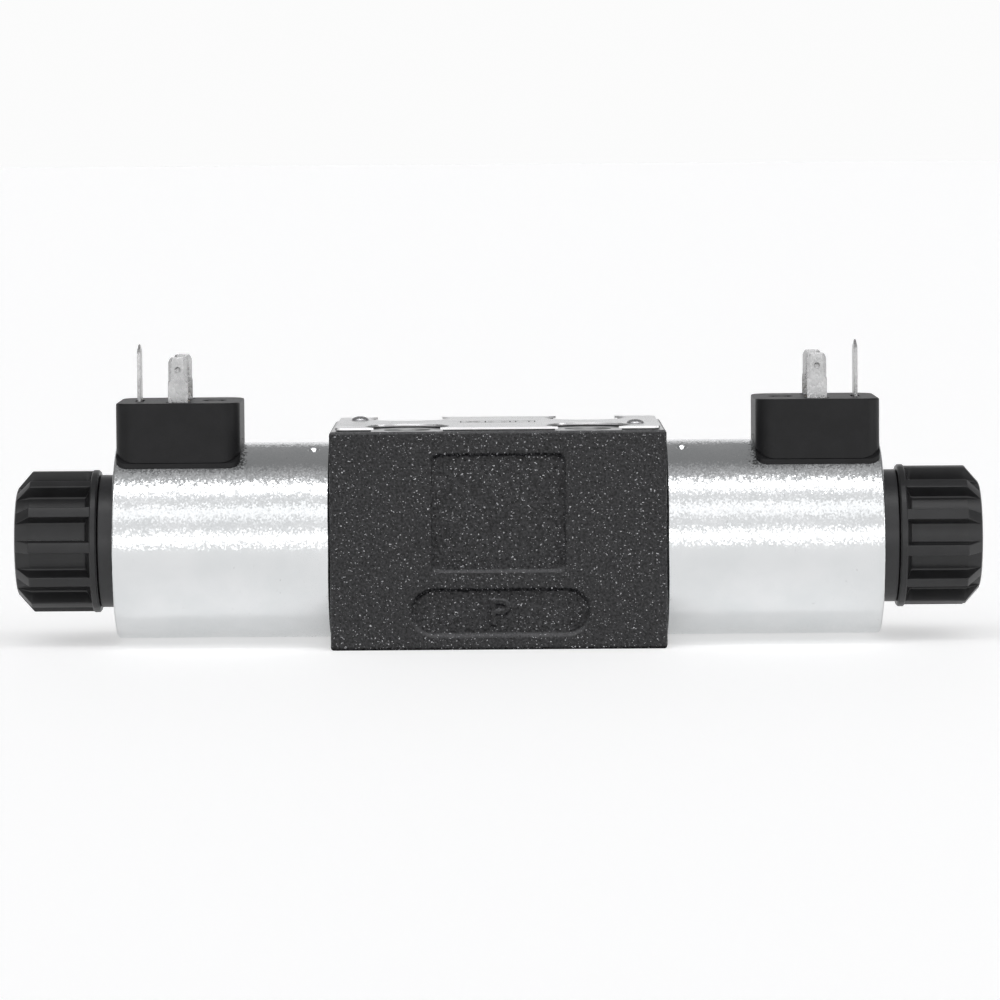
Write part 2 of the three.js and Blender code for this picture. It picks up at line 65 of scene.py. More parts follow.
# -------------------- sizes taken from the frame
BODY_LOW, BODY_HIGH = corners_of("valve_body")
COIL_LOW, COIL_HIGH = corners_of("coil_housing_a")
PLATE_LOW, PLATE_HIGH = corners_of("nameplate")
BASE_LOW, BASE_HIGH = corners_of("connector_base_a")
NUT_LOW, NUT_HIGH = corners_of("coil_nut_a")
NECK_LOW, NECK_HIGH = corners_of("nut_seal_a")
TUBE_LOW, TUBE_HIGH = corners_of("armature_tube_a")
PIN_LOW, PIN_HIGH = corners_of("override_pin_a")

AXIS_Z = (COIL_LOW.z + COIL_HIGH.z) / 2
COIL_RADIUS = (COIL_HIGH.z - COIL_LOW.z) / 2
NECK_RADIUS = (NECK_HIGH.z - NECK_LOW.z) / 2
COLLAR_RADIUS = (NUT_HIGH.z - NUT_LOW.z) / 2
BASE_CENTRE = (BASE_LOW.x + BASE_HIGH.x) / 2
BASE_TOP = BASE_HIGH.z - AXIS_Z
FRONT = BODY_LOW.y

SIDES = {"a": 0.0, "b": math.pi}
NUT_TURN = {"a": math.radians(8.4), "b": math.radians(-1.2)}

# -------------------- sizes of the finer shapes
BODY_EDGE = 0.8
CAST_GRAIN = 0.09
PAD_DEPTH = 0.8
PAD_WALL = 0.6
SQUARE_PAD = {"x": 0.05, "z": 30.6, "half_x": 14.85, "half_z": 13.0, "corner": 1.8}
STADIUM_PAD = {"x": 0.35, "z": 8.35, "half_x": 19.95, "half_z": 5.05, "corner": 5.05}
LETTER = {"height": 5.9, "width": 4.3, "stroke": 1.15, "relief": 0.5, "wall": 0.4}
SCREWS = [(-20.25, -16.25), (-20.25, 16.25), (20.25, -15.5), (20.25, 15.5)]
SCREW = {"hole": 2.75, "well": 5.25, "seat": 38.0, "notch": 9.4}
PORTS = {"p": (-1.25, -10.4), "t": (-1.25, 10.4), "a": (7.55, 0.0), "b": (-9.95, 0.0)}
PORT = {"mouth": 3.75, "drill": 3.0, "mouth_depth": 8.0, "seat": 6.25, "seat_depth": 1.4}
# Height at which each port's drilling ends, measured from the mounting face.
DRILL_TOPS = {"p": AXIS_Z, "t": 9.0, "a": AXIS_Z - 8.5, "b": AXIS_Z - 8.5}
BORE = {"radius": 7.0, "end": 26.5, "pocket": 12.0, "chamber": 10.0, "chamber_half": 2.5}
CHAMBERS = (-18, -9, 0, 9, 18)
MACHINED_SKIN = 1.3
SHEET = 0.5
PLATE_CORNER = 1.5
SHADOW_LAYER_INSET = 0.3
# Printed symbol: side of a square, line width, port offset and the sizes of shut ports and barbs.
SYMBOL = {"square": 5.6, "line": 0.28, "port": 1.5, "shut": 0.62, "cap": 0.6, "barb": 1.0, "splay": 0.45}
INK_SUNK = 0.03
INK_RAISED = 0.012
RIVET = {"hole": 1.3, "shank": 1.2, "tip": 1.0}
RIVET_NODES = ("nameplate_rivet_left", "nameplate_rivet_right")

COLLAR_END = NUT_LOW.x + 1.6
RIB_END = NUT_HIGH.x - 3.5
RIB_RADIUS = 16.0
FLOOR_RADIUS = 12.95
NUT_END_RADIUS = 12.0
FLOOR_HALF = 2.1
TOP_HALF = 2.97
FLUTE_SLOPE = 1.1
FLUTES = 12
PIN_HOLE = 3.6
THREAD_RADIUS = 9.6
THREAD_PITCH = 1.5

# Armature tube: x positions and radii; a groove is its two x positions and its floor's radius.
TUBE = {
    "outside": 11.0,
    "bore": 9.0,
    "spring": 7.0,
    "push_pin": 2.3,
    "pin_hole": 3.05,
    "collar": 4.7,
    "seal_groove": (34.5, 36.7, 10.3),
    "pin_groove": (97.0, 98.9, 4.5),
    "spring_seat": 37.0,
    "shoulder": 37.4,
    "pole_face": 54.0,
    "plug_face": 88.0,
    "collar_end": 94.1,
}
BUTTON = {"radius": 3.0, "collar": 4.4, "collar_length": 3}

PIN_OFFSET = 9.0
PIN_HALF_WIDTH = 2.25
EARTH_OFFSET = 9.2
EARTH_HALF_WIDTH = 3.15
BLADE_HALF = 0.4
BLIND_RECESS = -7.7
BASE = {"corner": 4.5, "edge": 0.45, "foot_corner": 2.4, "skirt": 0.9}
# Contact recess: clearance around a blade and depth. Insert hole and blind ring: depths and radii.
RECESS = {"gap": 0.55, "depth": 0.5}
INSERT_HOLE = {"depth": 6.3, "radius": 2.4}
BLIND_RING = {"depth": 1.1, "inner": 1.5, "outer": 2.8}
# Round pit in each face of a contact pin: its ball's radius, distance off the face and height.
PIT = {"radius": 0.85, "off": 0.5, "height": 7.3}
# Contact blades as (x from the base's centre, y, half size along x, half size along y).
CONTACTS = [
    (0, -PIN_OFFSET, PIN_HALF_WIDTH, BLADE_HALF),
    (0, PIN_OFFSET, PIN_HALF_WIDTH, BLADE_HALF),
    (EARTH_OFFSET, 0, BLADE_HALF, EARTH_HALF_WIDTH),
]
# Staking dimple: place along X and around the can, its pit, and the fine mesh around it.
DIMPLE = {
    "x": 41.6,
    "angle": math.radians(71),
    "radius": 1.6,
    "depth": 0.95,
    "spread": 0.09,
    "step": 0.006,
}
CAN = {"wall": 3, "end_plate": 3.2, "bore": 11.3, "seam": 2.6, "window": 4.3, "sides": 160}

# -------------------- materials


def set_range(node, values):
    """Gives a Map Range node its From Min, From Max, To Min and To Max."""
    for socket, value in zip(("From Min", "From Max", "To Min", "To Max"), values):
        node.inputs[socket].default_value = value


def maths(tree, kind, operation, *sources):
    """Result of a math or vector math node of a node tree, fed by sockets or plain values."""
    node = tree.nodes.new(kind)
    node.operation = operation
    for source, socket in zip(sources, node.inputs):
        if isinstance(source, bpy.types.NodeSocket):
            tree.links.new(source, socket)
        else:
            socket.default_value = source
    return node.outputs[0]


class Look:
    """A node-based material on one Principled shader, mapped in the object's own millimetres."""

    def __init__(self, name):
        self.material = bpy.data.materials.new(name)
        self.material.use_nodes = True
        self.nodes = self.material.node_tree.nodes
        self.links = self.material.node_tree.links
        self.shader = self.nodes["Principled BSDF"]
        self.place = self.nodes.new("ShaderNodeTexCoord").outputs["Object"]

    def set(self, **values):
        for name, value in values.items():
            self.shader.inputs[name.replace("_", " ")].default_value = value

    def join(self, source, socket):
        self.links.new(source, self.shader.inputs[socket])

    def stretched(self, scale):
        """Coordinates in millimetres, scaled by scale along X, Y and Z."""
        mapping = self.nodes.new("ShaderNodeMapping")
        mapping.inputs["Scale"].default_value = [s / MM for s in scale]
        self.links.new(self.place, mapping.inputs["Vector"])
        return mapping.outputs["Vector"]

    def grain(self, per_mm, detail=4.0, roughness=0.55, stretch=(1, 1, 1)):
        """Noise with about per_mm features in a millimetre."""
        texture = self.nodes.new("ShaderNodeTexNoise")
        texture.inputs["Scale"].default_value = per_mm
        texture.inputs["Detail"].default_value = detail
        texture.inputs["Roughness"].default_value = roughness
        self.links.new(self.stretched(stretch), texture.inputs["Vector"])
        return texture.outputs["Fac"]

    def pits(self, per_mm):
        """Distance to the nearest of scattered points, about per_mm in a millimetre."""
        texture = self.nodes.new("ShaderNodeTexVoronoi")
        texture.inputs["Scale"].default_value = per_mm
        self.links.new(self.stretched((1, 1, 1)), texture.inputs["Vector"])
        return texture.outputs["Distance"]

    def vector(self, operation, *sources):
        return maths(self.material.node_tree, "ShaderNodeVectorMath", operation, *sources)

    def crystals(self, per_mm, tilt):
        """The surface's normal, tilted at random in each small cell."""
        cells = self.nodes.new("ShaderNodeTexVoronoi")
        cells.inputs["Scale"].default_value = per_mm
        self.links.new(self.stretched((1, 1, 1)), cells.inputs["Vector"])
        lean = self.vector("SUBTRACT", cells.outputs["Color"], (0.5, 0.5, 0.5))
        lean = self.vector("MULTIPLY", lean, (tilt, tilt, tilt))
        normal = self.nodes.new("ShaderNodeNewGeometry").outputs["Normal"]
        return self.vector("NORMALIZE", self.vector("ADD", normal, lean))

    def rise(self):
        """How much the surface faces up: 1 on top, 0 on a wall and -1 underneath."""
        axes = self.nodes.new("ShaderNodeSeparateXYZ")
        self.links.new(self.nodes.new("ShaderNodeTexCoord").outputs["Normal"], axes.inputs["Vector"])
        return axes.outputs["Z"]

    def spread(self, source, low, high, start=0.0, stop=1.0):
        """source between start and stop, mapped onto low and high."""
        node = self.nodes.new("ShaderNodeMapRange")
        set_range(node, (start, stop, low, high))
        self.links.new(source, node.inputs["Value"])
        return node.outputs["Result"]

    def colours(self, source, first, second, start=0.35, stop=0.65):
        ramp = self.nodes.new("ShaderNodeValToRGB")
        ramp.color_ramp.elements[0].position = start
        ramp.color_ramp.elements[0].color = (*first, 1)
        ramp.color_ramp.elements[1].position = stop
        ramp.color_ramp.elements[1].color = (*second, 1)
        self.links.new(source, ramp.inputs["Fac"])
        return ramp.outputs["Color"]

    def blend(self, mask, colour, other):
        """colour where mask is 0 and the plain colour other where it is 1."""
        mix = self.nodes.new("ShaderNodeMix")
        mix.data_type = "RGBA"
        mix.inputs["B"].default_value = (*other, 1)
        self.links.new(mask, mix.inputs["Factor"])
        self.links.new(colour, mix.inputs["A"])
        return mix.outputs["Result"]

    def bump(self, height, depth_mm, strength=1.0, under=None):
        node = self.nodes.new("ShaderNodeBump")
        node.inputs["Strength"].default_value = strength
        node.inputs["Distance"].default_value = depth_mm * MM
        self.links.new(height, node.inputs["Height"])
        if under is not None:
            self.links.new(under, node.inputs["Normal"])
        return node.outputs["Normal"]


def zinc():
    """Zinc plating whose small crystals each lean a little their own way."""
    look = Look("zinc_plate")
    clouds = look.grain(0.11, detail=3)
    specks = look.spread(look.grain(0.9, detail=3, stretch=(1.6, 1, 0.8)), 0.0, 0.45, 0.70, 0.78)
    clean = look.colours(clouds, (0.69, 0.705, 0.71), (0.725, 0.735, 0.74))
    look.join(look.blend(specks, clean, (0.36, 0.36, 0.36)), "Base Color")
    look.join(look.spread(clouds, 0.12, 0.16, 0.3, 0.7), "Roughness")
    look.join(look.crystals(2.7, 0.12), "Normal")
    look.set(Metallic=1.0)
    return look.material


def cast_paint():
    """Black paint over a rough sand casting, with small bright glints. Faces that look up are painted
    lighter and faces that look down get a weaker reflection, as painted light and shade.
    """
    look = Look("cast_paint")
    coarse = look.grain(0.6, detail=2)
    mottle = look.grain(1.7, detail=3, roughness=0.6)
    glints = look.spread(look.grain(2.6, detail=1, stretch=(0.8, 1, 1.2)), 0.0, 1.0, 0.68, 0.75)
    dark = look.colours(mottle, (0.003, 0.003, 0.0035), (0.032, 0.032, 0.034), 0.40, 0.64)
    # painted light: faces that look up are blended towards a lighter grey
    painted_top_light = look.blend(look.spread(look.rise(), 0.0, 1.0, 0.15, 0.6), dark, (0.085, 0.085, 0.088))
    look.join(look.blend(glints, painted_top_light, (0.60, 0.60, 0.62)), "Base Color")
    look.join(look.spread(glints, 0.0, 0.9), "Metallic")
    look.join(look.spread(coarse, 0.26, 0.40, 0.3, 0.7), "Roughness")
    pebbles = look.bump(look.pits(1.4), 0.40, 0.9)
    lumps = look.bump(coarse, 0.4, 0.6, under=pebbles)
    look.join(look.bump(mottle, 0.75, 1.0, under=lumps), "Normal")
    # painted shade: faces that look down reflect less, so they read darker
    look.join(look.spread(look.rise(), 0.02, 0.40, -0.45, -0.05), "Specular IOR Level")
    return look.material


def plated(name, colour, rough, grain_mm=4.0, depth=0.012, stretch=(1, 1, 1), shade=0.85):
    """Bare or plated metal with a fine grain."""
    look = Look(name)
    grain = look.grain(grain_mm, detail=4, roughness=0.6, stretch=stretch)
    clouds = look.grain(0.11, detail=3)
    darker = tuple(c * shade for c in colour)
    look.join(look.colours(clouds, darker, colour), "Base Color")
    look.join(look.spread(grain, rough[0], rough[1], 0.3, 0.7), "Roughness")
    look.join(look.bump(grain, depth), "Normal")
    look.set(Metallic=1.0)
    return look.material


def moulded(name, colour, rough, grain_mm=5.0, depth=0.01, level=0.5):
    """Moulded plastic or rubber with a fine spark-eroded texture."""
    look = Look(name)
    grain = look.grain(grain_mm, detail=3)
    clouds = look.grain(0.25, detail=2)
    lighter = tuple(c * 1.35 for c in colour)
    look.join(look.colours(clouds, colour, lighter), "Base Color")
    look.join(look.spread(grain, rough[0], rough[1], 0.3, 0.7), "Roughness")
    look.join(look.bump(grain, depth), "Normal")
    look.set(Specular_IOR_Level=level)
    return look.material


LOOKS = {
    "cast_black": cast_paint(),
    "machined": plated("machined", (0.62, 0.62, 0.62), (0.26, 0.42), 3.0, 0.010, (0.15, 1, 1)),
    "zinc_plate": zinc(),
    "steel": plated("steel", (0.55, 0.55, 0.56), (0.20, 0.30), 4.0, 0.006, (1, 0.2, 0.2)),
    "spring_steel": plated("spring_steel", (0.36, 0.37, 0.39), (0.25, 0.35)),
    "black_nylon": moulded("black_nylon", (0.006, 0.006, 0.0065), (0.40, 0.50), 3.0, 0.02, 0.22),
    "nut_plastic": moulded("nut_plastic", (0.010, 0.010, 0.0105), (0.30, 0.40), 6.0, 0.008, 0.42),
    "bobbin_plastic": moulded("bobbin_plastic", (0.03, 0.03, 0.032), (0.45, 0.55)),
    "copper": plated("copper", (0.72, 0.30, 0.12), (0.3, 0.45), 2.0, 0.02, (1, 0.1, 0.1)),
    "brass": plated("brass", (0.72, 0.52, 0.22), (0.25, 0.35), 4.0, 0.006),
    "tinned": plated("tinned", (0.46, 0.46, 0.46), (0.22, 0.36), 2.0, 0.09, (1, 1, 0.5), 0.7),
    "rubber": moulded("rubber", (0.013, 0.013, 0.014), (0.32, 0.42), 4.0, 0.012, 0.5),
    "plate_metal": plated("plate_metal", (0.78, 0.78, 0.78), (0.24, 0.36), 3.0, 0.006, (0.08, 1, 1)),
    "ink": moulded("ink", (0.012, 0.012, 0.012), (0.5, 0.6)),
}

# -------------------- shapes


def filleted(corners, steps=4, closed=True):
    """Corners (x, y, radius) as a line of points, each corner rounded to its radius."""
    points = []
    count = len(corners)
    for i, (x, y, radius) in enumerate(corners):
        here = Vector((x, y))
        if radius <= 0 or (not closed and i in (0, count - 1)):
            points.append(here)
            continue
        before = Vector(corners[i - 1][:2]) - here
        after = Vector(corners[(i + 1) % count][:2]) - here
        half = before.angle(after) / 2
        reach = min(radius / math.tan(half), 0.49 * before.length, 0.49 * after.length)
        start = here + before.normalized() * reach
        end = here + after.normalized() * reach
        middle = (before.normalized() + after.normalized()).normalized()
        centre = here + middle * (reach / math.cos(half))
        for k in range(steps + 1):
            arm = (start - centre).lerp(end - centre, k / steps)
            points.append(centre + arm.normalized() * (reach * math.tan(half)))
    return points


def turned(profile, sides=96, shift=None, angles=None):
    """bmesh of a line of (x, radius) points turned about X. A ring's profile closes on itself."""
    angles = angles or [2 * math.pi * k / sides for k in range(sides)]
    bm = bmesh.new()
    rings = []
    for x, radius in profile:
        if radius < 1e-6:
            rings.append([bm.verts.new((x, 0, 0))])
            continue
        ring = []
        for angle in angles:
            r = radius + (shift(x, radius, angle) if shift else 0)
            ring.append(bm.verts.new((x, -r * math.cos(angle), r * math.sin(angle))))
        rings.append(ring)
    if len(rings[0]) > 1:
        rings.append(rings[0])
    for low, high in zip(rings, rings[1:]):
        bridge(bm, low, high)
    return bm


def bridge(bm, low, high):
    """Faces between two rings, either of which may be a single vertex."""
    count = max(len(low), len(high))
    for k in range(count):
        n = (k + 1) % count
        if len(low) == 1:
            bm.faces.new((low[0], high[n], high[k]))
        elif len(high) == 1:
            bm.faces.new((low[k], low[n], high[0]))
        else:
            bm.faces.new((low[k], low[n], high[n], high[k]))


def ring_profile(low, high, inner, outer, edge=0.2, steps=3):
    """(x, radius) outline of a ring with rounded edges."""
    box = [(low, inner, edge), (low, outer, edge), (high, outer, edge), (high, inner, edge)]
    return filleted(box, steps)


def rod_profile(low, high, radius):
    """(x, radius) outline of a rod with softened ends."""
    line = [(low, 0, 0), (low, radius, 0.3), (high, radius, 0.3), (high, 0, 0)]
    return filleted(line, 3, closed=False)


def rounded_square(half_x, half_y, radius, steps=10):
    box = [(half_x, -half_y), (half_x, half_y), (-half_x, half_y), (-half_x, -half_y)]
    return filleted([(x, y, radius) for x, y in box], steps)


def prism(outline, low, high, top_edge=0.0):
    """bmesh of an outline raised from z = low to z = high, with a rounded top rim."""
    bm = bmesh.new()
    base = bm.faces.new([bm.verts.new((p[0], p[1], low)) for p in outline])
    grown = bmesh.ops.extrude_face_region(bm, geom=[base])["geom"]
    top = [g for g in grown if isinstance(g, bmesh.types.BMVert)]
    bmesh.ops.translate(bm, verts=top, vec=(0, 0, high - low))
    if top_edge:
        rim = [e for e in bm.edges if all(abs(v.co.z - high) < 1e-6 for v in e.verts)]
        bmesh.ops.bevel(bm, geom=rim, offset=top_edge, segments=4, profile=0.5, affect="EDGES")
    return bm


def moved(bm, x=0.0, y=0.0, z=0.0):
    bmesh.ops.translate(bm, verts=bm.verts, vec=(x, y, z))
    return bm


def standing(bm, x, y):
    """Turns a piece made about X so that its X points up, and stands it at (x, y)."""
    bmesh.ops.rotate(bm, verts=bm.verts, cent=(0, 0, 0), matrix=Matrix.Rotation(-QUARTER, 3, "Y"))
    return moved(bm, x, y)


def box_shape(low, high):
    bm = bmesh.new()
    bmesh.ops.create_cube(bm, size=1)
    size = Vector(high) - Vector(low)
    bmesh.ops.scale(bm, verts=bm.verts, vec=size)
    return moved(bm, *((Vector(high) + Vector(low)) / 2))


def to_object(bm, name):
    bmesh.ops.recalc_face_normals(bm, faces=bm.faces)
    mesh = bpy.data.meshes.new(name)
    bm.to_mesh(mesh)
    bm.free()
    obj = bpy.data.objects.new(name, mesh)
    bpy.context.scene.collection.objects.link(obj)
    return obj


def combined(obj, shapes, operation="DIFFERENCE"):
    """Cuts shapes out of obj, or joins or intersects them, and keeps the result as its mesh."""
    helpers = [to_object(bm, "cutter") for bm in shapes]
    for helper in helpers:
        modifier = obj.modifiers.new("boolean", "BOOLEAN")
        modifier.solver = "MANIFOLD"
        modifier.operation = operation
        modifier.object = helper
    settle(obj)
    for helper in helpers:
        mesh = helper.data
        bpy.data.objects.remove(helper)
        bpy.data.meshes.remove(mesh)
    return obj


def settle(obj):
    """Applies an object's modifiers to its mesh."""
    bpy.context.view_layer.update()
    graph = bpy.context.evaluated_depsgraph_get()
    mesh = bpy.data.meshes.new_from_object(obj.evaluated_get(graph))
    obj.modifiers.clear()
    old, obj.data = obj.data, mesh
    bpy.data.meshes.remove(old)


def softened(obj, width, segments=2, angle=40):
    modifier = obj.modifiers.new("edges", "BEVEL")
    modifier.width = width
    modifier.segments = segments
    modifier.limit_method = "ANGLE"
    modifier.angle_limit = math.radians(angle)
    settle(obj)
    return obj


def finished(obj, body, slot, side=None, stands_for=None, sharp=32):
    """Places a piece modelled in millimetres, smooths it and hands it to the frame."""
    place = Matrix.Scale(MM, 4)
    if side:
        place = place @ Matrix.Translation((0, 0, AXIS_Z)) @ Matrix.Rotation(SIDES[side], 4, "Z")
    obj.data.transform(place)
    obj.data.polygons.foreach_set("use_smooth", [True] * len(obj.data.polygons))
    obj.data.set_sharp_from_angle(angle=math.radians(sharp))
    weighted = obj.modifiers.new("flat faces", "WEIGHTED_NORMAL")
    weighted.keep_sharp = True
    weighted.weight = 100
    settle(obj)
    if not any(obj.data.materials):
        obj.data.materials.clear()
        obj.data.materials.append(LOOKS[slot])
    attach(obj, body)
    if stands_for:
        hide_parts(stands_for)
    return obj


# -------------------- valve body


def pad_distance(x, z, pad):
    """Distance from (x, z) to a pad's rounded outline, negative inside it."""
    dx = abs(x - pad["x"]) - pad["half_x"] + pad["corner"]
    dz = abs(z - pad["z"]) - pad["half_z"] + pad["corner"]
    return math.hypot(max(dx, 0), max(dz, 0)) + min(max(dx, dz), 0) - pad["corner"]


def letter_distance(x, z):
    """Distance to the strokes of the port letter, negative on them."""
    x -= STADIUM_PAD["x"]
    z -= STADIUM_PAD["z"]
    half = LETTER["stroke"] / 2
    left = -LETTER["width"] / 2
    stem = max(abs(x - left - half) - half, abs(z) - LETTER["height"] / 2)
    bowl = LETTER["height"] * 0.29
    bowl_x = LETTER["width"] / 2 - bowl
    bowl_z = LETTER["height"] / 2 - bowl
    along = x - min(max(x, left), bowl_x)
    ring = abs(math.hypot(along, z - bowl_z) - bowl + half) - half
    return min(stem, max(ring, left - x))


def step(value):
    """Rises smoothly from 0 to 1 as value goes from 0 to 1."""
    t = min(max(value, 0.0), 1.0)
    return t * t * (3 - 2 * t)


def front_depth(x, z):
    """How far the front face lies behind the plane of its rim."""
    nearest = min(pad_distance(x, z, SQUARE_PAD), pad_distance(x, z, STADIUM_PAD))
    depth = PAD_DEPTH * step(0.5 - nearest / PAD_WALL)
    if pad_distance(x, z, STADIUM_PAD) < -1:
        depth -= LETTER["relief"] * step(0.5 - letter_distance(x, z) / LETTER["wall"])
    return depth


def spaced(low, high, gap, fine=()):
    """Even positions from low to high, closer together inside each fine (from, to, gap)."""
    marks = [low]
    while marks[-1] < high - 1e-6:
        here = marks[-1]
        step_size = min([gap] + [g for start, stop, g in fine if start - g < here < stop])
        marks.append(min(here + step_size, high))
    return marks


def rounded_block(low, high, radius, lines):
    """bmesh of a block with rounded edges, its faces on a grid of lines along each axis."""
    bm = bmesh.new()
    inner_low = low + Vector((radius,) * 3)
    inner_high = high - Vector((radius,) * 3)
    last = [len(line) - 1 for line in lines]
    verts = {}

    def vertex(key):
        if key not in verts:
            p = Vector([lines[axis][key[axis]] for axis in range(3)])
            core = Vector([min(max(p[n], inner_low[n]), inner_high[n]) for n in range(3)])
            verts[key] = bm.verts.new(core + (p - core).normalized() * radius)
        return verts[key]

    for axis in range(3):
        u, v = [n for n in range(3) if n != axis]
        for end in (0, last[axis]):
            for i in range(last[u]):
                for j in range(last[v]):
                    keys = []
                    for di, dj in ((0, 0), (1, 0), (1, 1), (0, 1)):
                        key = [0, 0, 0]
                        key[axis], key[u], key[v] = end, i + di, j + dj
                        keys.append(tuple(key))
                    bm.faces.new([vertex(k) for k in keys])
    return bm


def cast_block():
    """The outside of the casting: rounded edges, sunk pads, port letter and sand-cast unevenness."""
    edge = BODY_EDGE
    rim = [(BODY_LOW[n], BODY_LOW[n] + edge, edge / 3) for n in range(3)]
    rim_high = [(BODY_HIGH[n] - edge, BODY_HIGH[n], edge / 3) for n in range(3)]
    letter_x = (STADIUM_PAD["x"] - 2.6, STADIUM_PAD["x"] + 2.6, 0.18)
    letter_z = (STADIUM_PAD["z"] - 3.4, STADIUM_PAD["z"] + 3.4, 0.18)
    lines = [
        spaced(BODY_LOW.x, BODY_HIGH.x, 0.42, [rim[0], rim_high[0], letter_x]),
        spaced(BODY_LOW.y, BODY_HIGH.y, 1.1, [rim[1], rim_high[1]]),
        spaced(BODY_LOW.z, BODY_HIGH.z, 0.42, [rim[2], rim_high[2], letter_z]),
    ]
    bm = rounded_block(BODY_LOW, BODY_HIGH, edge, lines)
    bm.normal_update()
    bmesh.ops.recalc_face_normals(bm, faces=bm.faces)
    for v in bm.verts:
        way = v.normal.copy()
        machined = min(1.0, max(0.0, (abs(way.z) - 0.7) / 0.25))
        lump = 0.5 + 0.5 * noise.fractal(v.co * 0.9, 0.9, 2.0, 3)
        inwards = CAST_GRAIN * (1 - machined) * min(max(lump, 0.0), 1.0)
        if v.co.y < FRONT + 1e-4:
            inwards += front_depth(v.co.x, v.co.z)
        v.co -= way * inwards
    return to_object(bm, "casting")


def hole(x, y, profile, sides=64):
    """A hole's solid about the vertical through (x, y), from (z, radius) points."""
    return standing(turned(profile, sides), x, y)


def body_cutters():
    """Screw wells, ports with their seal seats, and the spool's bore."""
    top = BODY_HIGH.z + 1
    cutters = []
    for x, y in SCREWS:
        well = [(-1, 0), (-1, SCREW["hole"]), (SCREW["seat"], SCREW["hole"])]
        well += [(SCREW["seat"], SCREW["well"]), (top, SCREW["well"]), (top, 0)]
        cutters.append(hole(x, y, well))
    for port, (x, y) in PORTS.items():
        end = DRILL_TOPS[port]
        way = [(-1, 0), (-1, PORT["seat"]), (PORT["seat_depth"], PORT["seat"])]
        way += [(PORT["seat_depth"], PORT["mouth"]), (PORT["mouth_depth"], PORT["mouth"])]
        way += [(PORT["mouth_depth"], PORT["drill"]), (end, PORT["drill"]), (end, 0)]
        cutters.append(hole(x, y, way))
    cutters.append(moved(turned(spool_bore(), 96), z=AXIS_Z))
    return cutters


def spool_bore():
    """(x, radius) outline of the spool's bore, its chambers and a pocket at each end for the tubes."""
    outside = BODY_HIGH.x + 1
    end, radius, pocket = BORE["end"], BORE["radius"], BORE["pocket"]
    line = [(-outside, 0), (-outside, pocket), (-end, pocket), (-end, radius)]
    for middle in CHAMBERS:
        low, high = middle - BORE["chamber_half"], middle + BORE["chamber_half"]
        line += [(low, radius), (low, BORE["chamber"]), (high, BORE["chamber"]), (high, radius)]
    return line + [(end, radius), (end, pocket), (outside, pocket), (outside, 0)]


def is_machined(polygon):
    """True on the body's top and bottom and in its holes, which are bare metal."""
    x, y, z = polygon.center
    steepness = abs(polygon.normal.z)
    flat = steepness > 0.95 and not BODY_LOW.z + 0.2 < z < BODY_HIGH.z - 0.2
    core = abs(x) < BODY_HIGH.x - MACHINED_SKIN and abs(y) < BODY_HIGH.y - MACHINED_SKIN
    deep = BODY_LOW.z + MACHINED_SKIN < z < BODY_HIGH.z - MACHINED_SKIN
    return flat or core and (deep or steepness < 0.1)


def valve_body():
    obj = combined(cast_block(), body_cutters())
    obj.data.materials.clear()
    obj.data.materials.append(LOOKS["cast_black"])
    obj.data.materials.append(LOOKS["machined"])
    for polygon in obj.data.polygons:
        polygon.material_index = 1 if is_machined(polygon) else 0
    return finished(obj, "valve", "cast_black", stands_for="valve_body", sharp=50)


def screw_circle(x, y, radius, low, high):
    """Upright round cutter at (x, y)."""
    return hole(x, y, [(low, 0), (low, radius), (high, radius), (high, 0)], 96)


def nameplate():
    """Thin sheet with four notches round the screw wells, over a dark layer that paints the shadow in
    the gap under it.
    """
    half = (PLATE_HIGH - PLATE_LOW) / 2
    low, high = PLATE_HIGH.z - SHEET, PLATE_HIGH.z
    obj = to_object(prism(rounded_square(half.x, half.y, PLATE_CORNER), low, high), "plate_sheet")
    cutters = [screw_circle(x, y, SCREW["notch"], low - 1, high + 1) for x, y in SCREWS]
    for node in RIVET_NODES:
        rivet_low, rivet_high = corners_of(node)
        middle = (rivet_low + rivet_high) / 2
        cutters.append(screw_circle(middle.x, middle.y, RIVET["hole"], low - 1, high + 1))
    combined(obj, cutters)
    softened(obj, 0.08)
    finished(obj, "valve", "plate_metal", stands_for="nameplate")
    # painted shadow: a dark layer fills the gap between the sheet and the body's top
    inner = half - Vector((SHADOW_LAYER_INSET,) * 3)
    outline = rounded_square(inner.x, inner.y, PLATE_CORNER - 0.1)
    layer = to_object(prism(outline, BODY_HIGH.z + 0.01, low - 0.02), "plate_shadow_layer")
    notch = SCREW["notch"] + SHADOW_LAYER_INSET
    combined(layer, [screw_circle(x, y, notch, low - 2, low + 1) for x, y in SCREWS])
    finished(layer, "valve", "rubber")


def stroke(bm, start, end, width, low, high):
    """Adds a straight printed line to bm, from (x, y) start to end."""
    start, end = Vector(start), Vector(end)
    way = end - start
    bar = bmesh.ops.create_cube(bm, size=1)["verts"]
    bmesh.ops.scale(bm, verts=bar, vec=(way.length + width, width, high - low))
    turn = Matrix.Rotation(math.atan2(way.y, way.x), 3, "Z")
    bmesh.ops.rotate(bm, verts=bar, cent=(0, 0, 0), matrix=turn)
    middle = (start + end) / 2
    bmesh.ops.translate(bm, verts=bar, vec=(middle.x, middle.y, (low + high) / 2))


